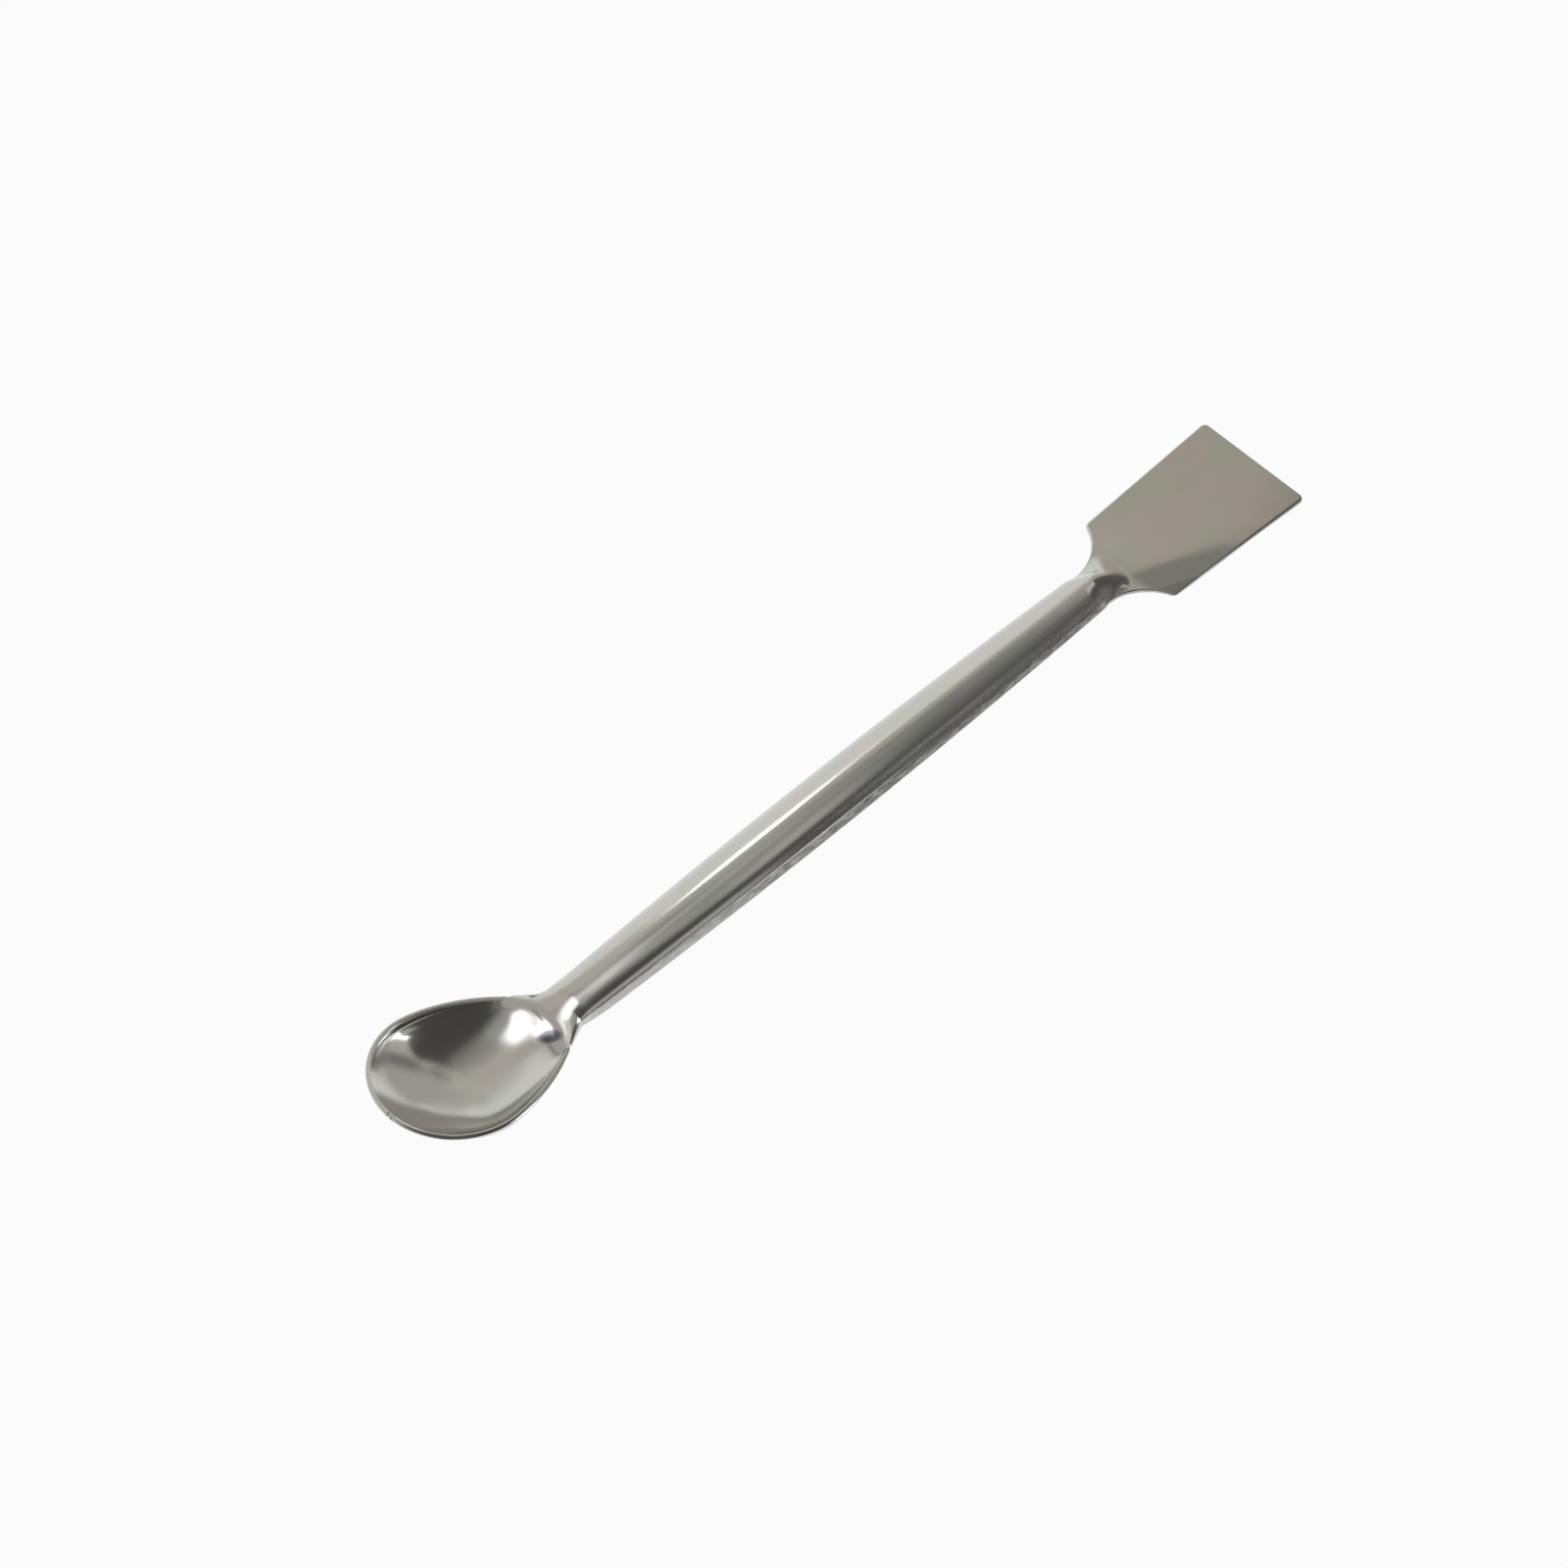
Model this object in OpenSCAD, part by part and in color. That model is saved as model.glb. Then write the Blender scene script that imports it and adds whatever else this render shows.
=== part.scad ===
// Double-ended spatula pressed from one sheet: an egg-shaped bowl, a ridged channel handle
// and a flat square-ended blade. X runs from the bowl's tip to the blade, +Z is up, and the
// spatula lies on the bench at z = 0 under the middle of its box.
// Widths and heights of the pressed part are taken at the middle of the sheet.

/* [Sheet] */
// Length from the bowl's tip to the blade's end
overall_length = 150; // [130:1:200]
// Thickness of the sheet
sheet_t = 0.7; // [0.5:0.05:0.9]
// How far the polished edge stands out, rounded, from the cut line
edge_crown = 0.2; // [0.05:0.05:0.3]

/* [Bowl] */
// Greatest width of the bowl
bowl_w = 19.9; // [15:0.1:24]
// Distance from the tip to the widest place
bowl_nose = 10.2; // [8:0.2:13]
// Distance from the tip to the deepest place of the floor
floor_at = 13.5; // [11:0.1:16]
// Distance from the widest place to where the egg outline would close
bowl_heel = 17.8; // [13:0.2:22]
// Power of the heel's outline, where 2 is an ellipse and less is more pointed
heel_power = 1.6; // [1.4:0.05:2]
// Height of the rim at the tip
rim_tip_z = 7.1; // [5:0.1:9]
// Distance from the tip to where the rim line comes down to the bench
rim_run = 29; // [25:0.2:32]
// How far the rim line bows upward, seen from the side
rim_bow = 1.3; // [0:0.1:1.6]

/* [Neck] */
// Height of the saddle between the bowl and the ridge
saddle_z = 2.2; // [1:0.1:2.6]
// Distance from the tip to the saddle
saddle_at = 25; // [22:0.1:26]
// Length of the flat top of the saddle, before the ridge climbs from it
saddle_flat = 1.2; // [0.4:0.1:2]
// How much steeper the bowl's floor gets towards the saddle
floor_power = 2.4; // [1.6:0.1:3.2]
// Distance from the tip to where the ridge has its full height
ridge_from = 29.5; // [28:0.1:36]
// Length over which the bowl's outline runs into the handle's
neck_blend = 3.5; // [1:0.1:4]

/* [Handle] */
// Width of the handle at the neck
handle_w_neck = 6.1; // [5:0.1:8]
// Width of the handle at its widest
handle_w_mid = 7.4; // [6:0.1:10]
// Width of the handle at the blade
handle_w_blade = 5.4; // [4.5:0.1:8]
// Height of the ridge at the neck
ridge_h_neck = 2.6; // [2:0.1:4]
// Height of the ridge at the handle's widest
ridge_h_mid = 3.1; // [2:0.1:5]
// Height of the ridge at the blade
ridge_h_blade = 2.3; // [1.5:0.1:4]
// Distance from the tip to the handle's widest place
handle_widest_at = 68.5; // [50:0.5:90]

/* [Blade] */
// Length of the blade from its shoulders to its end
blade_l = 22.9; // [18:0.1:30]
// Width of the blade at its shoulders
blade_w_shoulder = 15.3; // [12:0.1:20]
// Width of the blade at its end
blade_w_end = 17.1; // [12:0.1:24]
// Radius of the hollow curve from the handle to each shoulder
shoulder_r = 7.7; // [6:0.1:9]
// Radius of the rounded shoulder corners
shoulder_corner_r = 0.7; // [0.4:0.1:1.2]
// Radius of the two corners at the blade's end
end_corner_r = 0.6; // [0.3:0.1:2]
// Length over which the ridge dies away into the blade
ridge_fade = 5.6; // [4:0.1:9]
// Distance that the ridge stops short of the shoulders
ridge_stop = 1.6; // [1:0.1:3]

/* [Hidden] */
steel = [0.72, 0.71, 0.69];

half_t = sheet_t / 2;
bowl_half_w = bowl_w / 2;
// The sheet leans over the tip of the rim by a little, which counts in the length
tip_slope = 2 * (rim_tip_z - half_t) / floor_at;
tip_reach = half_t * tip_slope / sqrt(1 + tip_slope * tip_slope);
blade_end_x = overall_length - tip_reach;
shoulder_x = blade_end_x - blade_l;

// Blade outline: tilt of the long edges, centres of the two corner rounds and of the hollow
edge_tilt = atan((blade_w_end - blade_w_shoulder) / 2 / blade_l);
corner_x = shoulder_x + shoulder_corner_r;
corner_y = long_edge_y(corner_x) - shoulder_corner_r / cos(edge_tilt);
hollow_y = handle_w_blade / 2 + shoulder_r;
hollow_reach = shoulder_r + shoulder_corner_r;
hollow_x = corner_x - sqrt(pow(hollow_reach, 2) - pow(hollow_y - corner_y, 2));
hollow_end_a = atan2(corner_y - hollow_y, corner_x - hollow_x);
end_x = blade_end_x - end_corner_r;
end_y = long_edge_y(end_x) - end_corner_r / cos(edge_tilt);

// The ridge dies away between these, and the flat blade takes over at the join
fade_end_x = shoulder_x - ridge_stop;
fade_from_x = fade_end_x - ridge_fade;
join_lead = 0.5;     // flat sheet between the end of the ridge and the join
join_x = fade_end_x + join_lead;

// Shape of the cross-section, as the power of its crown
round_power = 0.5;   // half an ellipse, for the handle
tip_power = 1;       // a parabola, for the bowl's tip
dish_power = 0.62;   // a flat floor and steep walls, for the bowl
flange_power = 2;    // a bump that runs out flat on each side, for the end of the ridge
flange_lead = 2;     // distance before the hollow curves at which the handle's feet start to flatten
flange_run = 4.5;    // length over which they become flat flanges
flange_from_x = hollow_x - flange_lead;
flange_full_x = flange_from_x + flange_run;
ridge_spread = 0.9;  // how much the bump's foot widens past the handle's side
crowd = 6;           // how strongly the columns of facets keep to the ridge
edge_blend = 2;      // rounding of the rim line where it meets the handle's edge
saddle_blend = 0.35; // rounding at the top of the floor's rise

// Facets: columns across the sheet, rows along each stretch, and the step for slopes
columns = 30;
nose_rows = 14;
heel_rows = 12;
neck_rows = 12;
neck_spare = 1;      // close rows run on past the neck by this much
handle_rows = 12;
fade_rows = 18;
arc_steps = 10;
nudge = 0.02;

function mix(a, b, t) = a * (1 - t) + b * t;
function ramp(from, to, x) = let (t = min(1, max(0, (x - from) / (to - from)))) t * t * (3 - 2 * t);
function smooth_max(a, b, blend) =
    let (near = max(0, blend - abs(a - b)) / blend)
    max(a, b) + near * near * blend / 4;
function unit(v) = v / norm(v);
function long_edge_y(x) = mix(blade_w_shoulder, blade_w_end, (x - shoulder_x) / blade_l) / 2;

// A value of the handle: parabolas from its middle to the neck and to the blade
function along_handle(at_neck, at_mid, at_blade, x) =
    x < handle_widest_at
    ? at_mid - (at_mid - at_neck) * pow((handle_widest_at - x) / (handle_widest_at - ridge_from), 2)
    : at_mid - (at_mid - at_blade) * pow((x - handle_widest_at) / (hollow_x - handle_widest_at), 2);

// Half the width of the sheet's outline
function nose_half_w(x) = bowl_half_w * sqrt(max(0, 1 - pow(1 - x / bowl_nose, 2)));
function heel_half_w(x) =
    let (t = min(1, (x - bowl_nose) / bowl_heel))
    bowl_half_w * pow(1 - pow(t, heel_power), 1 / heel_power);
function handle_half_w(x) = along_handle(handle_w_neck, handle_w_mid, handle_w_blade, x) / 2;
function hollow_half_w(x) = hollow_y - sqrt(pow(shoulder_r, 2) - pow(x - hollow_x, 2));
function half_w(x) =
    x < bowl_nose ? nose_half_w(x)
    : x < handle_widest_at ? smooth_max(heel_half_w(x), handle_half_w(x), neck_blend)
    : x < hollow_x ? handle_half_w(x)
    : hollow_half_w(x);

// Height of the sheet's edges: the rim line, then the handle's feet, then the flat blade
function rim_z(x) = let (q = x / rim_run) mix(rim_tip_z, 0, q) + 4 * rim_bow * q * (1 - q);
function edge_z(x) =
    x < handle_widest_at ? smooth_max(rim_z(x), edge_crown, edge_blend)
    : mix(edge_crown, half_t, ramp(flange_from_x, flange_full_x, x));

// Height of the bowl's floor, up to the saddle and level from there
function floor_z(x) =
    let (t = max(0, (x - floor_at) / (saddle_at - floor_at)))
    -smooth_max(-mix(half_t, saddle_z, pow(t, floor_power)), -saddle_z, saddle_blend);

// Height of the middle line: down from the tip, bowl floor, saddle, ridge, flat blade
function ridge_z(x) = along_handle(ridge_h_neck, ridge_h_mid, ridge_h_blade, x);
function middle_z(x) =
    x < floor_at ? half_t + (rim_tip_z - half_t) * pow(1 - x / floor_at, 2)
    : x < handle_widest_at
    ? floor_z(x) + (ridge_z(x) - saddle_z) * ramp(saddle_at + saddle_flat, ridge_from, x)
    : mix(edge_z(x), ridge_z(x), 1 - ramp(fade_from_x, fade_end_x, x));

function bowl_power(x) = mix(tip_power, dish_power, ramp(0, bowl_nose, x));
function crown_power(x) =
    x < handle_widest_at ? mix(bowl_power(x), round_power, ramp(saddle_at, ridge_from, x))
    : mix(round_power, flange_power, ramp(flange_from_x, flange_full_x, x));

// A point in the middle of the sheet: x along it, v from -1 to 1 across it
function crown_half_w(x) = x < hollow_x ? half_w(x) : min(half_w(x), handle_w_blade / 2 + ridge_spread);
function sheet_point(x, v) =
    let (w = half_w(x), r = crown_half_w(x))
    let (y = r * sin(90 * v) + (w - r) * sign(v) * pow(abs(v), crowd))
    let (s = r > 0 ? min(1, abs(y) / r) : 0)
    [x, y, edge_z(x) + (middle_z(x) - edge_z(x)) * pow(1 - s * s, crown_power(x))];

function slope_along(x, v) = sheet_point(x + nudge, v) - sheet_point(max(0, x - nudge), v);
function slope_across(x, v) =
    x == 0 ? [0, 1, 0]
    : sheet_point(x, min(1, v + nudge)) - sheet_point(x, max(-1, v - nudge));
function sheet_normal(x, v) = unit(cross(slope_along(x, x == 0 ? 0 : v), slope_across(x, v)));

// The outline of one row of the sheet: top, far edge, underside, near edge
ring_size = 2 * (columns + 1) + 2;
function across(k) = -1 + 2 * k / columns;
function face_point(x, v, side) = sheet_point(x, v) + side * half_t * sheet_normal(x, v);
function row_face(x, side) = [for (k = [0:columns]) face_point(x, across(k), side)];
function row_edge(x, v) = sheet_point(x, v) + edge_crown * v * unit(slope_across(x, v));
function backwards(list) = [for (k = [len(list) - 1:-1:0]) list[k]];
function row(x) =
    concat(row_face(x, 1), [row_edge(x, 1)], backwards(row_face(x, -1)), [row_edge(x, -1)]);
// A row that dips under the bench is raised to it
function lifted(points) =
    let (low = min([for (p = points) p.z]))
    [for (p = points) p - [0, 0, min(0, low)]];

neck_end_x = ridge_from + neck_spare;
row_x = concat(
    [for (k = [1:nose_rows]) bowl_nose * (1 - cos(90 * k / nose_rows))],
    [for (k = [1:heel_rows]) mix(bowl_nose, saddle_at, k / heel_rows)],
    [for (k = [1:neck_rows]) mix(saddle_at, neck_end_x, k / neck_rows)],
    [for (k = [1:handle_rows]) mix(neck_end_x, flange_from_x, k / handle_rows)],
    [for (k = [1:fade_rows]) mix(flange_from_x, join_x, k / fade_rows)]
);
last_row = len(row_x);
tip_out = -edge_crown * unit(slope_along(0, 0));
tip_points = [
    face_point(0, 0, 1),
    sheet_point(0, 0) + tip_out,
    face_point(0, 0, -1)
];

// Index of point k of a row: row 0 is the tip, and the last row has plain square edges
function at(i, k) =
    i == 0 ? (k <= columns ? 0 : k == columns + 1 || k == ring_size - 1 ? 1 : 2)
    : i == last_row && k == columns + 1 ? at(i, columns)
    : i == last_row && k == ring_size - 1 ? at(i, 0)
    : len(tip_points) + (i - 1) * ring_size + k;
function two_triangles(a, b, c, d, flip) = flip ? [[a, b, c], [a, c, d]] : [[a, b, d], [b, c, d]];
function is_face(f) = f[0] != f[1] && f[1] != f[2] && f[2] != f[0];

module pressed_sheet() {
    points = concat(tip_points, [for (x = row_x) each lifted(row(x))]);
    skin = [
        for (i = [0:last_row - 1], k = [0:ring_size - 1])
            let (n = (k + 1) % ring_size, flip = k % (columns + 2) < columns / 2)
            each two_triangles(at(i, k), at(i, n), at(i + 1, n), at(i + 1, k), flip)
    ];
    cut = [
        for (k = [0:columns - 1])
            let (top = at(last_row, k), next_top = at(last_row, k + 1))
            let (under = at(last_row, ring_size - 2 - k), next_under = at(last_row, ring_size - 3 - k))
            each two_triangles(top, next_top, next_under, under, true)
    ];
    polyhedron(points = points, faces = [for (f = concat(skin, cut)) if (is_face(f)) f]);
}

function arc(centre, radius, from, to, first = 0) =
    [for (k = [first:arc_steps]) let (a = mix(from, to, k / arc_steps)) centre + radius * [cos(a), sin(a)]];

module flat_blade() {
    join = sheet_point(join_x, 1);
    join_a = -acos((join_x - hollow_x) / shoulder_r);
    far_side = concat(
        [[join.x, join.y]],
        arc([hollow_x, hollow_y], shoulder_r, join_a, hollow_end_a, first = 1),
        arc([corner_x, corner_y], shoulder_corner_r, hollow_end_a + 180, 90 + edge_tilt, first = 1),
        arc([end_x, end_y], end_corner_r, 90 + edge_tilt, 0)
    );
    linear_extrude(sheet_t) polygon(concat(far_side, [for (p = backwards(far_side)) [p.x, -p.y]]));
}

module spatula() {
    color(steel)
    translate([tip_reach - overall_length / 2, 0, 0])
    union() {
        pressed_sheet();
        flat_blade();
    }
}

spatula();
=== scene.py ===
import math
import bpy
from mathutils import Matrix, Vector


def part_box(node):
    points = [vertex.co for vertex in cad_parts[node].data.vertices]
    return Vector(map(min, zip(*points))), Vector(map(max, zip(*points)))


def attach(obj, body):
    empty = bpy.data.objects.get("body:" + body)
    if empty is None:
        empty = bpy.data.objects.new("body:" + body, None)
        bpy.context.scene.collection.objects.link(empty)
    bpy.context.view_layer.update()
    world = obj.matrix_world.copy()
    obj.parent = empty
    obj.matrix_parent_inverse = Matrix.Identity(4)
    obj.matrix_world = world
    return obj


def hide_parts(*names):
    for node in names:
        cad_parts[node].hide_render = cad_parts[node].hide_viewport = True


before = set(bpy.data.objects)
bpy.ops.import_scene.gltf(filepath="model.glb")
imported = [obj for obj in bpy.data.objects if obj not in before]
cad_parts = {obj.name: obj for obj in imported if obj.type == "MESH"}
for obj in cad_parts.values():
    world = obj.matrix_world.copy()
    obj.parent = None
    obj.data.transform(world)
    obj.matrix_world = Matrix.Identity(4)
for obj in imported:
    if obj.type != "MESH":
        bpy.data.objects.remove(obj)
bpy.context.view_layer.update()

from types import SimpleNamespace

import bpy
from mathutils import Vector

mm = 0.001
low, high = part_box("spatula")
middle = (low + high) / 2


class Wire:  # a node's output that can stand in a Python sum: each sum adds its Math node
    def __init__(self, graph, socket):
        self.graph = graph
        self.socket = socket

    def __add__(self, other):
        return self.graph.maths("ADD", self, other)

    def __radd__(self, other):
        return self.graph.maths("ADD", other, self)

    def __sub__(self, other):
        return self.graph.maths("SUBTRACT", self, other)

    def __rsub__(self, other):
        return self.graph.maths("SUBTRACT", other, self)

    def __mul__(self, other):
        return self.graph.maths("MULTIPLY", self, other)

    def __rmul__(self, other):
        return self.graph.maths("MULTIPLY", other, self)

    def __truediv__(self, other):
        return self.graph.maths("DIVIDE", self, other)

    def __rtruediv__(self, other):
        return self.graph.maths("DIVIDE", other, self)

    def __pow__(self, other):
        return self.graph.maths("POWER", self, other)


class Graph:  # a node tree and the ways to add to it
    def __init__(self, tree):
        self.tree = tree

    def add(self, kind, settings, values):
        node = self.tree.nodes.new(kind)
        for name, value in settings.items():
            setattr(node, name, value)
        for key, value in values.items():
            socket = node.inputs[key] if isinstance(key, int) else self.openSocket(node, key)
            if isinstance(value, Wire):
                self.tree.links.new(value.socket, socket)
            else:
                socket.default_value = value
        return {s.name: Wire(self, s) for s in node.outputs if s.enabled}

    def openSocket(self, node, name):
        return next(s for s in node.inputs if s.name == name and s.enabled)

    def maths(self, operation, *values):
        return self.add("ShaderNodeMath", {"operation": operation}, dict(enumerate(values)))["Value"]

    def vector(self, operation, *values):
        node = self.add("ShaderNodeVectorMath", {"operation": operation}, dict(enumerate(values)))
        return node["Vector"]

    def scaled(self, vector, amount):
        values = {"Vector": vector, "Scale": amount}
        return self.add("ShaderNodeVectorMath", {"operation": "SCALE"}, values)["Vector"]

    def dot(self, vector, other):
        values = {0: vector, 1: other}
        return self.add("ShaderNodeVectorMath", {"operation": "DOT_PRODUCT"}, values)["Value"]

    def steps(self, value, start, end, how="LINEAR"):  # 0 before start, 1 after end
        values = {"Value": value, "From Min": start, "From Max": end}
        return self.add("ShaderNodeMapRange", {"interpolation_type": how}, values)["Result"]

    def smooth(self, value, start, end):
        return self.steps(value, start, end, "SMOOTHSTEP")

    def mix(self, a, b, factor):
        return a + (b - a) * factor

    def blend(self, a, b, factor):  # between two colours
        values = {"Factor": factor, "A": a, "B": b}
        return self.add("ShaderNodeMix", {"data_type": "RGBA"}, values)["Result"]

    def choice(self, kind, test, no, yes):
        return self.add("GeometryNodeSwitch", {"input_type": kind}, {0: test, 1: no, 2: yes})["Output"]

    def noise(self, place, scale, detail, roughness=0.5):
        values = {"Vector": place, "Scale": scale, "Detail": detail, "Roughness": roughness}
        return self.add("ShaderNodeTexNoise", {}, values)["Fac"]

    def attribute(self, name):
        return self.add("ShaderNodeAttribute", {"attribute_name": name}, {})["Fac"]

    def point(self, x, y, z):
        return self.add("ShaderNodeCombineXYZ", {}, {"X": x, "Y": y, "Z": z})["Vector"]

    def cosine(self, degrees):
        return self.maths("COSINE", self.maths("RADIANS", degrees))

    def sine(self, degrees):
        return self.maths("SINE", self.maths("RADIANS", degrees))

    def root(self, value):
        return self.maths("SQRT", value)

    def least(self, a, b):
        return self.maths("MINIMUM", a, b)

    def most(self, a, b):
        return self.maths("MAXIMUM", a, b)

    def below(self, value, limits, choices):  # the first choice whose limit is above value, or the last
        result = choices[-1]
        for limit, choice in reversed(list(zip(limits, choices))):
            result = self.choice("FLOAT", self.maths("LESS_THAN", value, limit), result, choice)
        return result


sheetSizes = {  # of the pressed sheet: each is an input of its node tree
    "overallLength": high.x - low.x,
    "sheetThickness": 0.7 * mm,
    "edgeCrown": 0.2 * mm,  # how far the polished edge stands out, rounded
    "bowlWidth": 19.9 * mm,
    "bowlNose": 10.2 * mm,  # from the tip to the widest place
    "floorAt": 13.5 * mm,  # from the tip to the deepest place
    "bowlHeel": 17.8 * mm,  # from the widest place to where the egg outline would close
    "heelPower": 1.6,
    "rimTipHeight": 7.1 * mm,
    "rimRun": 29 * mm,  # from the tip to where the rim line reaches the bench
    "rimBow": 1.3 * mm,
    "rimBlend": 2 * mm,
    "saddleHeight": 2.2 * mm,
    "saddleAt": 25 * mm,
    "saddleCrest": 0.35 * mm,
    "floorRise": 2.4,  # power of the bowl floor's rise towards the saddle
    "ridgeClimb": 1.2 * mm,  # how far past the saddle the ridge starts to climb
    "ridgeFrom": 29.5 * mm,  # where it is whole
    "neckBlend": 3.5 * mm,
    "neckSpare": 1 * mm,
    "handleWidthNeck": 6.1 * mm,
    "handleWidthMiddle": 7.4 * mm,
    "handleWidthBlade": 5.4 * mm,
    "ridgeHeightNeck": 2.6 * mm,
    "ridgeHeightMiddle": 3.1 * mm,
    "ridgeHeightBlade": 2.3 * mm,
    "handleWidestAt": 68.5 * mm,
    "bladeLength": 22.9 * mm,
    "bladeWidthShoulder": 15.3 * mm,
    "bladeWidthEnd": 17.1 * mm,
    "shoulderRadius": 7.7 * mm,
    "shoulderCornerRadius": 0.7 * mm,
    "endCornerRadius": 0.6 * mm,
    "ridgeFade": 5.6 * mm,
    "ridgeStop": 1.6 * mm,
    "ridgeSpread": 0.9 * mm,
    "flangeLead": 2 * mm,
    "flangeRun": 4.5 * mm,
    "dishPower": 0.62,  # cross-section of the bowl: a flat floor and steep walls
    "tipPower": 1.0,  # at the tip: a parabola
    "roundPower": 0.5,  # of the handle: half an ellipse
    "flangePower": 2.0,  # of the ridge's end: a bump that runs out flat
    "columnCrowding": 6.0,  # power that keeps most columns on the ridge where the sheet is wider
    "dentHeight": 0.07 * mm,  # unevenness left by the press and the polishing wheel
    "dentSize": 5 * mm,
    "dentShareOnHandle": 0.15,
    "waveHeight": 0.05 * mm,
    "waveSize": 24 * mm,
    "waveStretch": 3.0,  # how much longer a wave is than wide
    "calmRim": 4.0,  # power at which the unevenness dies out towards the edges
    "calmTip": 1.5 * mm,  # and how far from the tip it has its full height
    "pinchAt": 23.9 * mm,  # the press has pinched the near side of the neck
    "pinchAcross": -2.4 * mm,
    "pinchSize": 2.4 * mm,
    "pinchDepth": 0.07 * mm,
    "nickAt": 26.9 * mm,  # and nicked the far rim of it
    "nickAcross": 3.6 * mm,
    "nickSize": 1.1 * mm,
    "nickDepth": 0.25 * mm,
    "creaseHeight": 0.08 * mm,  # a low swelling that runs from the ridge's end to the near long edge
    "creaseAcross": 1.9 * mm,  # how far from the middle it starts
    "creaseSlope": 0.40,
    "creaseRise": 9 * mm,  # how wide it is on its far side
    "creaseSlide": 0.10,  # slope of the sheet beyond it, down to the near shoulder
    "creaseBlend": 0.8 * mm,
    "creaseStart": 5 * mm,  # how far before the shoulder it starts
    "creaseFull": 1 * mm,  # and is whole
    "creaseHold": 8 * mm,  # how far past the shoulder it starts to die out
    "creaseStop": 1 * mm,  # how far before the blade's end it has gone
}
rowCounts = {  # facets along each stretch of the sheet, from the bowl's tip to the blade's end
    "nose": 70, "heel": 50, "neck": 44, "handle": 90, "fade": 60,
    "shoulder": 16, "corner": 10, "blade": 40, "end": 10,
}
columnCount = 48  # facets across the sheet
edgeCount = 8  # round its edge
capCount = 4  # round the edge at each end
firstNoseAngle = 1.5  # degrees round the bowl's nose at which the first row lies
lastColumnAt = 0.996  # of the way from the middle to the edge, where the last column but one lies
weldDistance = 0.001 * mm


def landmarks(g, s):  # places that the sizes fix
    half = s.sheetThickness / 2
    tipSlope = 2 * (s.rimTipHeight - half) / s.floorAt
    tipReach = half * tipSlope / g.root(1 + tipSlope * tipSlope)
    s.half = half
    s.tipX = tipReach - s.overallLength / 2
    s.bladeEndX = s.overallLength - tipReach
    s.shoulderX = s.bladeEndX - s.bladeLength
    s.sideSlope = (s.bladeWidthEnd - s.bladeWidthShoulder) / 2 / s.bladeLength
    s.slant = g.root(1 + s.sideSlope * s.sideSlope)
    s.cornerX = s.shoulderX + s.shoulderCornerRadius
    s.cornerY = longEdgeY(s, s.cornerX) - s.shoulderCornerRadius * s.slant
    s.hollowY = s.handleWidthBlade / 2 + s.shoulderRadius
    reach = s.shoulderRadius + s.shoulderCornerRadius
    drop = s.hollowY - s.cornerY
    s.hollowX = s.cornerX - g.root(reach * reach - drop * drop)
    s.hollowEndX = s.hollowX + (s.cornerX - s.hollowX) * s.shoulderRadius / reach
    s.cornerTopX = s.cornerX - s.shoulderCornerRadius * s.sideSlope / s.slant
    s.endX = s.bladeEndX - s.endCornerRadius
    s.endY = longEdgeY(s, s.endX) - s.endCornerRadius * s.slant
    s.fadeEndX = s.shoulderX - s.ridgeStop
    s.fadeFromX = s.fadeEndX - s.ridgeFade
    s.flangeFromX = s.hollowX - s.flangeLead
    s.flangeFullX = s.flangeFromX + s.flangeRun
    s.neckEndX = s.ridgeFrom + s.neckSpare


def longEdgeY(s, x):
    return s.bladeWidthShoulder / 2 + (x - s.shoulderX) * s.sideSlope


def smoothMost(g, a, b, blend):
    near = g.most(0.0, blend - g.maths("ABSOLUTE", a - b)) / blend
    return g.most(a, b) + near * near * blend / 4


def alongHandle(g, s, atNeck, atMiddle, atBlade, x):
    toNeck = (s.handleWidestAt - x) / (s.handleWidestAt - s.ridgeFrom)
    toBlade = (x - s.handleWidestAt) / (s.hollowX - s.handleWidestAt)
    neckSide = atMiddle - (atMiddle - atNeck) * toNeck * toNeck
    bladeSide = atMiddle - (atMiddle - atBlade) * toBlade * toBlade
    return g.below(x, [s.handleWidestAt], [neckSide, bladeSide])


def halfWidth(g, s, x):  # half the width of the outline
    back = 1 - x / s.bowlNose
    nose = s.bowlWidth / 2 * g.root(1 - back * back)
    past = g.least(1.0, (x - s.bowlNose) / s.bowlHeel)
    heel = s.bowlWidth / 2 * (1 - past ** s.heelPower) ** (1 / s.heelPower)
    handle = alongHandle(g, s, s.handleWidthNeck, s.handleWidthMiddle, s.handleWidthBlade, x) / 2
    fromHollow = x - s.hollowX
    hollow = s.hollowY - g.root(s.shoulderRadius * s.shoulderRadius - fromHollow * fromHollow)
    fromCorner = x - s.cornerX
    cornerRadius = s.shoulderCornerRadius
    corner = s.cornerY + g.root(cornerRadius * cornerRadius - fromCorner * fromCorner)
    fromEnd = x - s.endX
    end = s.endY + g.root(s.endCornerRadius * s.endCornerRadius - fromEnd * fromEnd)
    limits = [s.bowlNose, s.handleWidestAt, s.hollowX, s.hollowEndX, s.cornerTopX, s.endX]
    neck = smoothMost(g, heel, handle, s.neckBlend)
    return g.below(x, limits, [nose, neck, handle, hollow, corner, longEdgeY(s, x), end])


def edgeHeight(g, s, x):  # the rim line, then the handle's feet, then the flat blade
    q = x / s.rimRun
    rim = s.rimTipHeight * (1 - q) + 4 * s.rimBow * q * (1 - q)
    feet = smoothMost(g, rim, s.edgeCrown, s.rimBlend)
    flange = g.mix(s.edgeCrown, s.half, g.smooth(x, s.flangeFromX, s.flangeFullX))
    return g.below(x, [s.handleWidestAt], [feet, flange])


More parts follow.
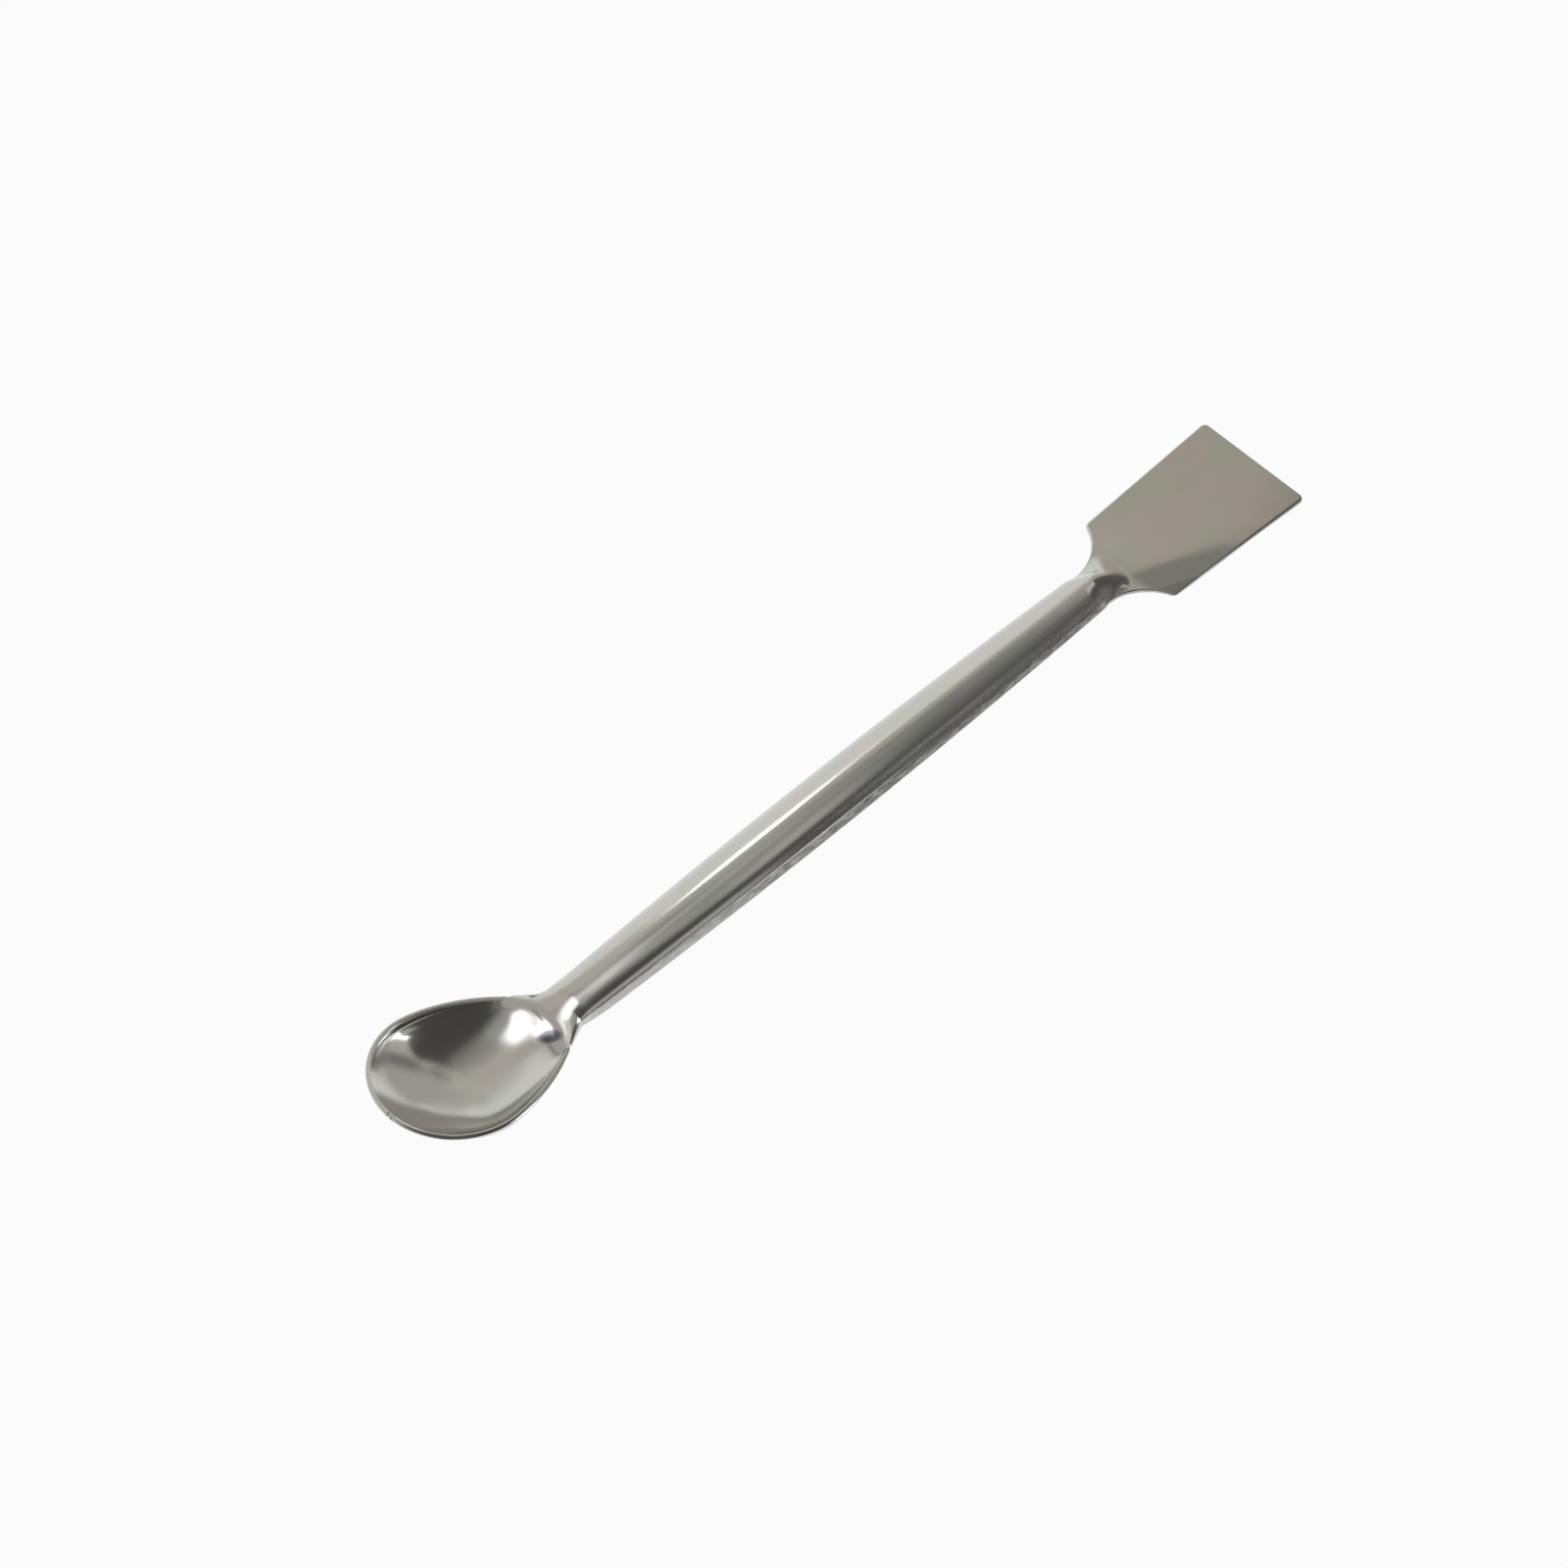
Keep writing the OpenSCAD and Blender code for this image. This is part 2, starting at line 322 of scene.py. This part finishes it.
def middleHeight(g, s, x, edge):  # down from the tip, bowl floor, saddle, ridge, flat blade
    back = 1 - x / s.floorAt
    nose = s.half + (s.rimTipHeight - s.half) * back * back
    along = g.most(0.0, (x - s.floorAt) / (s.saddleAt - s.floorAt))
    rise = s.half + (s.saddleHeight - s.half) * along ** s.floorRise
    floor = -1 * smoothMost(g, -1 * rise, -1 * s.saddleHeight, s.saddleCrest)
    ridge = alongHandle(g, s, s.ridgeHeightNeck, s.ridgeHeightMiddle, s.ridgeHeightBlade, x)
    climb = floor + (ridge - s.saddleHeight) * g.smooth(x, s.saddleAt + s.ridgeClimb, s.ridgeFrom)
    fade = g.mix(ridge, edge, g.smooth(x, s.fadeFromX, s.fadeEndX))
    return g.below(x, [s.floorAt, s.handleWidestAt], [nose, climb, fade])


def crownPower(g, s, x):
    dish = g.mix(s.tipPower, s.dishPower, g.smooth(x, 0, s.bowlNose))
    toRound = g.mix(dish, s.roundPower, g.smooth(x, s.saddleAt, s.ridgeFrom))
    toFlange = g.mix(s.roundPower, s.flangePower, g.smooth(x, s.flangeFromX, s.flangeFullX))
    return g.below(x, [s.handleWidestAt], [toRound, toFlange])


def rowPlace(g, s, row):  # where a row lies along the sheet, measured from the tip
    noseRows, *straightRows, endRows = rowCounts.values()
    angle = firstNoseAngle + (90 - firstNoseAngle) * g.steps(row, 0, noseRows)
    x = s.bowlNose * (1 - g.cosine(angle))
    done = noseRows
    stops = [s.bowlNose, s.saddleAt, s.neckEndX, s.flangeFromX]
    stops += [s.fadeEndX, s.hollowEndX, s.cornerTopX, s.endX]
    for count, start, stop in zip(straightRows, stops, stops[1:]):
        x = x + (stop - start) * g.steps(row, done, done + count)
        done += count
    return x + s.endCornerRadius * g.sine(90 * g.steps(row, done, done + endRows))


def sheetMiddle(g, s, x, v):  # a point halfway through the sheet: v runs from -1 to 1 across it
    width = halfWidth(g, s, x)
    ridgeWidth = g.least(width, s.handleWidthBlade / 2 + s.ridgeSpread)
    crownWidth = g.below(x, [s.hollowX], [width, ridgeWidth])
    outer = g.maths("SIGN", v) * g.maths("ABSOLUTE", v) ** s.columnCrowding
    y = crownWidth * g.sine(90 * v) + (width - crownWidth) * outer
    share = g.least(1.0, g.maths("ABSOLUTE", y) / crownWidth)
    edge = edgeHeight(g, s, x)
    crown = (1 - share * share) ** crownPower(g, s, x)
    inside = (1 - share ** s.calmRim) * g.smooth(x, 0, s.calmTip)
    z = edge + (middleHeight(g, s, x, edge) - edge) * crown + unevenness(g, s, x, y) * inside
    z = z + bladeSwelling(g, s, x, y)
    z = z - pressedDent(g, x, y, s.pinchAt, s.pinchAcross, s.pinchSize, s.pinchDepth)
    z = z - pressedDent(g, x, y, s.nickAt, s.nickAcross, s.nickSize, s.nickDepth)
    return g.point(x + s.tipX, y, z)


def pressedDent(g, x, y, atX, atY, size, depth):
    away = g.root((x - atX) * (x - atX) + (y - atY) * (y - atY))
    return depth * g.smooth(away, size, 0)


def bladeSwelling(g, s, x, y):
    beyond = y * -1 - s.creaseAcross - (x - s.shoulderX) * s.creaseSlope
    beyond = beyond / g.root(1 + s.creaseSlope * s.creaseSlope)
    rise = s.creaseHeight * g.smooth(beyond, s.creaseRise * -1, 0)
    fall = s.creaseSlide * smoothMost(g, beyond, 0.0, s.creaseBlend)
    comes = g.smooth(x, s.shoulderX - s.creaseStart, s.shoulderX - s.creaseFull)
    stays = g.smooth(x, s.bladeEndX - s.creaseStop, s.shoulderX + s.creaseHold)
    return (rise - fall) * comes * stays


def unevenness(g, s, x, y):
    dents = g.noise(g.point(x, y, 0.0), 1 / s.dentSize, 1.0) - 0.5
    waves = g.noise(g.point(x, y * s.waveStretch, 0.0), 1 / s.waveSize, 1.0) - 0.5
    inBowl = 1 - g.smooth(x, s.saddleAt - s.neckBlend, s.saddleAt)
    return dents * s.dentHeight * g.mix(s.dentShareOnHandle, 1, inBowl) + waves * s.waveHeight


def sheetTree(material):
    tree = bpy.data.node_groups.new("pressedSheet", "GeometryNodeTree")
    for name in sheetSizes:
        tree.interface.new_socket(name, in_out="INPUT", socket_type="NodeSocketFloat")
    tree.interface.new_socket("sheet", in_out="OUTPUT", socket_type="NodeSocketGeometry")
    g = Graph(tree)
    s = SimpleNamespace(**g.add("NodeGroupInput", {}, {}))
    landmarks(g, s)
    across = columnCount
    rows = 1 + sum(rowCounts.values())
    index = g.add("GeometryNodeInputIndex", {}, {})["Index"]
    position = g.add("GeometryNodeInputPosition", {}, {})["Position"]
    normal = g.add("GeometryNodeInputNormal", {}, {})["Normal"]

    # the sheet's middle, as one net of rows and columns
    row = g.maths("FLOOR", (index + 0.5) / (across + 1))
    column = index - row * (across + 1)
    net = g.add("GeometryNodeMeshGrid", {}, {"Vertices X": rows, "Vertices Y": across + 1})["Mesh"]
    outwards = lastColumnAt / (1 - 2 / across)
    v = g.least(g.most((2 * column / across - 1) * outwards, -1.0), 1.0)
    place = sheetMiddle(g, s, rowPlace(g, s, row), v)
    net = g.add("GeometryNodeSetPosition", {}, {"Geometry": net, "Position": place})["Geometry"]

    def onNet(value, atRow, atColumn):
        at = g.least(g.most(atRow, 0), rows - 1) * (across + 1) + g.least(g.most(atColumn, 0), across)
        return g.add("GeometryNodeSampleIndex", {"data_type": "FLOAT_VECTOR"},
                     {"Geometry": net, "Value": value, "Index": at})["Value"]

    # a skin wrapped round the net: top, far edge, underside, near edge, and a rounded cap at each end
    ring = 2 * across + 2 * edgeCount + 1
    skinRows = rows + 2 * capCount
    skin = g.add("GeometryNodeMeshGrid", {}, {"Vertices X": skinRows, "Vertices Y": ring})["Mesh"]
    skinRow = g.maths("FLOOR", (index + 0.5) / ring)
    k = index - skinRow * ring
    i = skinRow - capCount
    farEnd = across + edgeCount
    nearStart = 2 * across + edgeCount
    c = across * (g.steps(k, 0, across) - g.steps(k, farEnd, nearStart))
    turn = 180 * (g.steps(k, across, farEnd) - g.steps(k, nearStart, nearStart + edgeCount))
    capTurn = 90 * (g.steps(i, -capCount, 0) * -1 + 1 + g.steps(i, rows - 1, rows - 1 + capCount))
    turn = g.most(g.least(turn, 180 - capTurn), capTurn)
    point = onNet(position, i, c)
    outward = onNet(normal, i, c)
    alongNet = g.vector("SUBTRACT", onNet(position, i + 1, c), onNet(position, i - 1, c))
    acrossNet = g.vector("SUBTRACT", onNet(position, i, c + 1), onNet(position, i, c - 1))
    side = g.maths("SIGN", c - across / 2)
    isSide = g.maths("GREATER_THAN", g.maths("ABSOLUTE", c - across / 2), across / 2 - 0.5)
    end = g.maths("SIGN", i - rows / 2)
    sideways = g.scaled(g.vector("CROSS_PRODUCT", outward, alongNet), side)
    endways = g.scaled(g.vector("CROSS_PRODUCT", acrossNet, outward), end)
    edgeWay = g.vector("NORMALIZE", g.choice("VECTOR", isSide, endways, sideways))
    lift = g.scaled(outward, s.half * g.cosine(turn))
    bulge = g.scaled(edgeWay, s.edgeCrown * g.sine(turn))
    point = g.vector("ADD", g.vector("ADD", point, lift), bulge)
    point = g.vector("MAXIMUM", point, (-1.0, -1.0, 0.0))  # nothing dips under the bench
    mesh = skin
    for name, value in {"cutEdge": g.sine(turn), "topSide": g.cosine(turn)}.items():
        mesh = g.add("GeometryNodeStoreNamedAttribute", {"data_type": "FLOAT", "domain": "POINT"},
                     {"Geometry": mesh, "Name": name, "Value": value})["Geometry"]
    mesh = g.add("GeometryNodeSetPosition", {}, {"Geometry": mesh, "Position": point})["Geometry"]
    weld = {"Geometry": mesh, "Distance": weldDistance}
    mesh = g.add("GeometryNodeMergeByDistance", {}, weld)["Geometry"]
    mesh = g.add("GeometryNodeSetShadeSmooth", {}, {"Geometry": mesh})["Geometry"]
    mesh = g.add("GeometryNodeRealizeInstances", {}, {"Geometry": mesh})["Geometry"]
    mesh = g.add("GeometryNodeSetMaterial", {}, {"Geometry": mesh, "Material": material})["Geometry"]
    g.add("NodeGroupOutput", {}, {"sheet": mesh})
    return tree


def bakedMesh(name, tree, sizes):  # runs a tree and keeps its result as a plain mesh
    maker = bpy.data.objects.new(name + "Maker", bpy.data.meshes.new(name + "Maker"))
    bpy.context.scene.collection.objects.link(maker)
    modifier = maker.modifiers.new(name, "NODES")
    modifier.node_group = tree
    for item in tree.interface.items_tree:
        if item.in_out == "INPUT":
            modifier[item.identifier] = sizes[item.name]
    evaluated = maker.evaluated_get(bpy.context.evaluated_depsgraph_get())
    mesh = bpy.data.meshes.new_from_object(evaluated)
    maker.modifiers.remove(modifier)
    bpy.data.objects.remove(maker)
    piece = bpy.data.objects.new(name, mesh)
    bpy.context.scene.collection.objects.link(piece)
    return piece


steelLook = {  # scales are per metre, and a pair with From in its name is where a look starts and is full
    "colour": (0.60, 0.588, 0.567, 1.0),
    "greenTint": (0.572, 0.592, 0.548, 1.0),
    "greenFrom": (0.47, 0.62),
    "redTint": (0.615, 0.574, 0.556, 1.0),
    "redFrom": (0.45, 0.32),
    "tintSize": 9 * mm,
    "dullAndShadeColour": (0.165, 0.16, 0.152, 1.0),
    "dullAndShadeShares": (0.5, 0.55, 0.35),  # of the worn patches, the scuffed strip with its painted shade, and the raw edge with its painted dark outline
    "roughness": 0.15,
    "cloudRoughness": 0.06,  # how much the polish varies
    "cloudScale": 140.0,
    "footHeight": 1.4 * mm,  # of the strip along the handle's feet, scuffed and darkened with painted shade: the floor's shadow seen in the steel
    "footBlur": 0.12 * mm,
    "footStop": 47 * mm,  # how far along from the middle it has gone
    "footWhole": 43 * mm,  # and is whole
    "footFrom": (2.0 * mm, 2.4 * mm),  # to the side
    "footLeast": 0.35,  # its scuffs and its painted shade are fainter towards the bowl
    "footLeastAt": -44 * mm,
    "footRoughness": 0.38,
    "roughShares": (0.7, 0.5),  # of the strip and the raw edge
    "footRelief": 0.08 * mm,
    "mottleScale": 650.0,  # the worn patches
    "mottleStretch": (1, 3, 5),
    "mottleFrom": (0.32, 0.62),
    "edgeFrom": (0.75, 0.95),
    "lineHeight": 0.004 * mm,  # polishing lines
    "lineScale": 9000.0,
    "lineStretch": (0.05, 1, 1),
    "bumpStrength": 0.5,
    "paintedSpotColour": (0.085, 0.09, 0.125, 1.0),  # painted dark blue reflection in the neck's pinch and nick
    "paintedSpotShare": 0.85,
    "paintedSpotFrom": (1.3, 0.25),  # square of the distance from a spot's middle, in its half sizes
    "paintedSpots": [  # x, y, half length, half width in millimetres, turn in degrees
        (-51.1, -2.4, 1.6, 1.0, -45),
        (-48.3, 3.4, 0.7, 0.5, 0),
    ],
}


# painted dark blue reflection: spots in the neck's pinch and nick
def paintedSpotMarks(g, x, y):
    marks = 0.0
    for atX, atY, long, wide, turn in steelLook["paintedSpots"]:
        turn = math.radians(turn)
        fromX, fromY = x - atX * mm, y - atY * mm
        along = (fromX * math.cos(turn) + fromY * math.sin(turn)) / (long * mm)
        across = (fromY * math.cos(turn) - fromX * math.sin(turn)) / (wide * mm)
        marks = g.most(marks, g.smooth(along * along + across * across, *steelLook["paintedSpotFrom"]))
    return marks


def scuffedAndShadedFoot(g, x, y, z):  # 1 on the strip along the handle's feet, which is scuffed and darkened with painted shade
    look = steelLook
    stop, whole = look["footStop"], look["footWhole"]
    top, blur = look["footHeight"], look["footBlur"]
    foot = g.smooth(x, -stop, -whole) * g.smooth(x, stop, whole)
    foot = foot * g.smooth(g.maths("ABSOLUTE", y), *look["footFrom"])
    foot = foot * g.smooth(z, top + blur, top - blur)
    return foot * g.mix(look["footLeast"], 1, g.smooth(x, look["footLeastAt"], 0))


def polishedSteel():
    look = steelLook
    material = bpy.data.materials.new("polishedSteel")
    material.use_nodes = True
    g = Graph(material.node_tree)
    g.tree.nodes.clear()
    place = g.add("ShaderNodeTexCoord", {}, {})["Object"]
    part = g.add("ShaderNodeSeparateXYZ", {}, {"Vector": place})
    x, y, z = part["X"], part["Y"], part["Z"]
    clouds = g.noise(place, look["cloudScale"], 3.0) - 0.5
    mottlePlace = g.vector("MULTIPLY", place, look["mottleStretch"])
    mottle = g.noise(mottlePlace, look["mottleScale"], 3.0, 0.6)
    # the strip along the feet: scuffed, and darkened with painted shade standing in for the floor's shadow
    # seen in the steel
    foot = scuffedAndShadedFoot(g, x, y, z)
    worn = foot * g.smooth(mottle, *look["mottleFrom"])
    # the cut edge: rough, and darkened as a painted dark outline
    rawEdgeAndOutlineShade = g.smooth(g.attribute("cutEdge"), *look["edgeFrom"])
    onTop = g.smooth(g.attribute("topSide"), 0.0, 0.5)  # not on the edge or underneath
    wornShare, footShare, edgeShare = look["dullAndShadeShares"]
    # dull grey for wear, and painted shade on the strip along the feet and on the cut edge
    dullAndShade = g.least(1.0, worn * wornShare + foot * footShare + rawEdgeAndOutlineShade * edgeShare)
    tint = g.noise(place, 1 / look["tintSize"], 2.0)
    colour = g.blend(look["colour"], look["greenTint"], g.smooth(tint, *look["greenFrom"]))
    colour = g.blend(colour, look["redTint"], g.smooth(tint, *look["redFrom"]))
    # painted dark blue reflection in the neck's pinch and nick
    colour = g.blend(colour, look["paintedSpotColour"], paintedSpotMarks(g, x, y) * onTop * look["paintedSpotShare"])
    colour = g.blend(colour, look["dullAndShadeColour"], dullAndShade)
    roughness = look["roughness"] + clouds * look["cloudRoughness"]
    footShare, edgeShare = look["roughShares"]
    rough = g.least(1.0, foot * footShare + rawEdgeAndOutlineShade * edgeShare)
    roughness = g.mix(roughness, look["footRoughness"], rough)
    lines = g.noise(g.vector("MULTIPLY", place, look["lineStretch"]), look["lineScale"], 2.0)
    height = lines * look["lineHeight"] + foot * mottle * look["footRelief"]
    relief = {"Strength": look["bumpStrength"], "Distance": 1.0, "Height": height}
    surface = g.add("ShaderNodeBsdfPrincipled", {}, {
        "Base Color": colour,
        "Metallic": 1.0,
        "Roughness": roughness,
        "Normal": g.add("ShaderNodeBump", {}, relief)["Normal"],
    })["BSDF"]
    g.add("ShaderNodeOutputMaterial", {}, {"Surface": surface})
    return material


cameraPlace = {
    "turn": -44.69,  # degrees round from looking along +Y
    "rise": 53.2,
    "distance": 0.9,
    "aimX": -3.47 * mm,  # from the middle of the spatula's box
    "aimY": 5.83 * mm,
    "lens": 167.4,
}


def wayTo(turn, rise):  # from the object towards a place round it
    a, e = math.radians(turn), math.radians(rise)
    return Vector((math.sin(a) * math.cos(e), -math.cos(a) * math.cos(e), math.sin(e)))


def placeCamera():
    data = bpy.data.cameras.new("camera")
    data.lens = cameraPlace["lens"]
    data.clip_end = 20
    camera = bpy.data.objects.new("camera", data)
    bpy.context.scene.collection.objects.link(camera)
    aim = Vector((middle.x + cameraPlace["aimX"], middle.y + cameraPlace["aimY"], low.z))
    back = wayTo(cameraPlace["turn"], cameraPlace["rise"])
    camera.location = aim + back * cameraPlace["distance"]
    camera.rotation_euler = back.to_track_quat("Z", "Y").to_euler()
    bpy.context.scene.camera = camera


def flatBoard(name, x, y):  # a rectangle, x and y are half its sizes, with the graph of its empty material
    mesh = bpy.data.meshes.new(name)
    mesh.from_pydata([(-x, -y, 0), (x, -y, 0), (x, y, 0), (-x, y, 0)], [], [(0, 1, 2, 3)])
    board = bpy.data.objects.new(name, mesh)
    bpy.context.scene.collection.objects.link(board)
    material = bpy.data.materials.new(name)
    material.use_nodes = True
    mesh.materials.append(material)
    g = Graph(material.node_tree)
    g.tree.nodes.clear()
    return board, g


floorLook = {
    "reach": 3.0,  # metres from the middle
    "drop": 0.01 * mm,  # clear of the sheet
    "paper": (0.9, 0.9, 0.9, 1),
    "glow": 0.95,  # how far it is plain white where it is seen: the rest keeps the shadow
}


def layFloor():
    floor, g = flatBoard("floor", floorLook["reach"], floorLook["reach"])
    floor.location = (0, 0, low.z - floorLook["drop"])
    paper = g.add("ShaderNodeBsdfDiffuse", {}, {"Color": floorLook["paper"]})["BSDF"]
    path = g.add("ShaderNodeLightPath", {}, {})
    seen = g.least(1.0, path["Is Camera Ray"] + path["Is Glossy Ray"] + path["Is Transmission Ray"])
    glow = g.add("ShaderNodeEmission", {}, {"Color": (1, 1, 1, 1), "Strength": 1.0})["Emission"]
    mixed = g.add("ShaderNodeMixShader", {}, {0: seen * floorLook["glow"], 1: paper, 2: glow})["Shader"]
    g.add("ShaderNodeOutputMaterial", {}, {"Surface": mixed})


studioLight = {  # Edge and Start pairs are sines of the angle past the line where the wall starts
    "wall": (0.91, 0.90, 0.88, 1),  # the pale wall that fills the far side of the studio
    "wallTurn": -12,  # degrees from +X towards +Y at which it starts
    "wallEdge": (-0.12, 0.12),
    "wallTop": 48.5,  # degrees above the horizon at which it ends
    "wallTopNear": 57,  # and nearer the unlit side
    "wallTopEdge": (0.25, 0.48),
    "wallTopBlur": 0.03,
    "ceiling": (0.515, 0.48, 0.425, 1),
    "ceilingNear": (0.21, 0.208, 0.196, 1),
    "ceilingEdge": (0.31, 0.40),
    "ceilingStart": (-0.35, -0.05),  # out of the unlit side
    "dark": (0.075, 0.07, 0.066, 1),  # the unlit side of the studio, at the camera's right
    "darkEdge": (-0.72, -0.15),
}


def lightWorld():
    world = bpy.data.worlds.new("studio")
    bpy.context.scene.world = world
    world.use_nodes = True
    g = Graph(world.node_tree)
    g.tree.nodes.clear()
    studio = studioLight
    way = g.add("ShaderNodeTexCoord", {}, {})["Generated"]
    turn = math.radians(studio["wallTurn"])
    across = g.dot(way, (-math.sin(turn), math.cos(turn), 0))
    up = g.add("ShaderNodeSeparateXYZ", {}, {"Vector": way})["Z"]
    nearTop, farTop = (math.sin(math.radians(studio[key])) for key in ("wallTopNear", "wallTop"))
    top = g.mix(nearTop, farTop, g.smooth(across, *studio["wallTopEdge"]))
    unlit = g.blend(studio["dark"], studio["ceilingNear"], g.smooth(across, *studio["darkEdge"]))
    walls = g.blend(unlit, studio["wall"], g.smooth(across, *studio["wallEdge"]))
    ceiling = g.blend(studio["ceilingNear"], studio["ceiling"], g.smooth(across, *studio["ceilingEdge"]))
    ceiling = g.blend(unlit, ceiling, g.smooth(across, *studio["ceilingStart"]))
    blur = studio["wallTopBlur"]
    light = g.blend(walls, ceiling, g.smooth(up, top - blur, top + blur))
    path = g.add("ShaderNodeLightPath", {}, {})
    light = g.blend(light, (1, 1, 1, 1), path["Is Camera Ray"])
    back = g.add("ShaderNodeBackground", {}, {"Color": light, "Strength": 1.0})["Background"]
    g.add("ShaderNodeOutputWorld", {}, {"Surface": back})


softCards = {  # seen only in the steel, and each note says where
    # aim, distance and size in millimetres, turn (from +X towards +Y) and rise in degrees
    # soft: the share of each half that fades out, softUp: the same up the card where it differs
    "ridgeStrip": {  # the bright line along the handle's crown
        "aim": (-23, 0, 3), "turn": 50, "rise": 46, "distance": 200,
        "size": (36, 30), "soft": 0.5, "radiance": (4.3, 4.3, 4.3),
    },
    "neckLight": {  # the white patch where the bowl climbs to the neck
        "aim": (-58, 21, 0), "turn": 0, "rise": 90, "distance": 60,
        "size": (19, 20), "soft": 0.6, "radiance": (3.3, 3.25, 3.4),
    },
    "bowlGlow": {  # the grey of the bowl's floor
        "aim": (-61, 0, 2), "turn": 30, "rise": 66, "distance": 150,
        "size": (84, 84), "soft": 0.5, "radiance": (0.33, 0.315, 0.29),
    },
    "bowlShade": {  # the dark far wall of the bowl, hung low so that the handle doesn't see it
        "aim": (-63.5, 4.2, 4.2), "turn": -55, "rise": 50, "distance": 24,
        "size": (38, 24), "soft": 0.45, "softUp": 0.5, "radiance": (0.075, 0.07, 0.066),
    },
    "floorShade": {  # its soft end on the floor
        "aim": (-64.3, 4, 1.6), "turn": 4.5, "rise": 44.7, "distance": 34,
        "size": (12, 12), "soft": 0.8, "radiance": (0.33, 0.32, 0.3),
    },
    "tailShade": {  # and its tail under the tip's white patch
        "aim": (-67, 6.9, 4.1), "turn": -13.6, "rise": 16.5, "distance": 17.3,
        "size": (3.6, 11), "soft": 0.7, "radiance": (0.21, 0.205, 0.2),
    },
    "bowlHaze": {  # the lighter grey round the floor and along the rim
        "aim": (-62, 0, 2), "turn": 38, "rise": 43, "distance": 45,
        "size": (44, 44), "soft": 0.6, "radiance": (0.6, 0.57, 0.52),
    },
    "tipShield": {  # evens out the grey in the bowl's tip
        "aim": (-70, 3, 3), "turn": -3, "rise": 17, "distance": 22,
        "size": (26, 12), "soft": 0.5, "radiance": (0.52, 0.5, 0.47),
    },
    "neckSpot": {  # the second white patch, where the ridge climbs
        "aim": (-44.8, -1.2, 0), "turn": 0, "rise": 90, "distance": 12,
        "size": (6.4, 9), "soft": 0.7, "radiance": (2.0, 2.0, 2.0),
    },
    "startGlow": {  # the handle's start
        "aim": (-28, -4.5, 0), "turn": 0, "rise": 90, "distance": 42,
        "size": (26, 38), "soft": 0.9, "radiance": (0.95, 0.94, 0.92),
    },
    "middleGlow": {  # the handle's middle, on the near side of its crown
        "aim": (18, -33, 0), "turn": 0, "rise": 90, "distance": 60,
        "size": (56, 70), "soft": 0.9, "radiance": (0.53, 0.515, 0.485),
    },
    "crownGlow": {  # a faint line low on the handle's start
        "aim": (-35, 0, 3), "turn": -42, "rise": 58, "distance": 60,
        "size": (44, 44), "soft": 0.9, "radiance": (0.44, 0.43, 0.41),
    },
    "footGlow": {  # the light line low on the handle's first half
        "aim": (-38, 0, 2), "turn": -66, "rise": 14, "distance": 120,
        "size": (56, 50), "soft": 0.6, "radiance": (0.5, 0.49, 0.47),
    },
    "ceilingGlow": {  # the grey light beside the crown, and in the bowl before the neck
        "aim": (45, 40, 3), "turn": 90, "rise": 90, "distance": 300,
        "size": (300, 260), "soft": 0.8, "radiance": (0.6, 0.6, 0.58),
    },
    "darkFlag": {  # darkens the ridge's end
        "aim": (-62, -32, 0), "turn": 0, "rise": 16, "distance": 208,
        "size": (150, 110), "soft": 0.3, "radiance": (0.12, 0.11, 0.105),
    },
    "greyFlag": {  # the grey of the blade
        "aim": (50, 0, 3), "turn": 20, "rise": 26, "distance": 120,
        "size": (128, 150), "soft": 0.5, "radiance": (0.51, 0.475, 0.42),
    },
    "floorShadowSheet": {  # a dark sheet lying on the floor by the near side, a painted shadow that only the steel sees: it darkens the near edges of the handle and the blade
        "aim": (62, -25, 0), "turn": 0, "rise": 90, "distance": 0.4,
        "size": (130, 46), "soft": 0.5, "radiance": (0.15, 0.14, 0.135),
    },
    "tipLight": {  # the white patch in the bowl's tip, a far window
        "aim": (-66, 8, 5), "turn": -43, "rise": 12, "distance": 1500,
        "size": (620, 820), "soft": 0.4, "radiance": (6.4, 6.4, 7.0),
    },
    "jointFlag": {  # keeps that window out of the handle's near side, towards the blade
        "aim": (26, -3, 2), "turn": -45, "rise": 11, "distance": 46,
        "size": (90, 36), "soft": 0.4, "radiance": (0.1, 0.095, 0.09),
    },
}


def hangCard(name, card):
    x, y = (size / 2 * mm for size in card["size"])
    board, g = flatBoard(name, x, y)
    turn, rise = math.radians(card["turn"]), math.radians(card["rise"])
    level = math.cos(rise)
    way = Vector((math.cos(turn) * level, math.sin(turn) * level, math.sin(rise)))
    board.location = (Vector(card["aim"]) + way * card["distance"]) * mm
    board.rotation_euler = way.to_track_quat("Z", "Y").to_euler()
    place = g.add("ShaderNodeTexCoord", {}, {})["Object"]
    part = g.add("ShaderNodeSeparateXYZ", {}, {"Vector": place})
    soft = card["soft"]
    softUp = card.get("softUp", soft)
    inX = g.smooth(g.maths("ABSOLUTE", part["X"]), x, x * (1 - soft))
    inY = g.smooth(g.maths("ABSOLUTE", part["Y"]), y, y * (1 - softUp))
    shine = {"Color": (*card["radiance"], 1), "Strength": 1.0}
    glow = g.add("ShaderNodeEmission", {}, shine)["Emission"]
    clear = g.add("ShaderNodeBsdfTransparent", {}, {})["BSDF"]
    shown = g.add("ShaderNodeMixShader", {}, {0: inX * inY, 1: clear, 2: glow})["Shader"]
    g.add("ShaderNodeOutputMaterial", {}, {"Surface": shown})
    board.visible_camera = False
    board.visible_shadow = False
    board.visible_diffuse = False


print("studio")
placeCamera()
layFloor()
lightWorld()
for name, card in softCards.items():
    hangCard(name, card)
bpy.context.scene.view_settings.view_transform = "Standard"

print("pressed sheet")
spatula = bakedMesh("pressedSpatula", sheetTree(polishedSteel()), sheetSizes)
print("faces", len(spatula.data.polygons), "points", len(spatula.data.vertices))
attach(spatula, "root")
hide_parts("spatula")
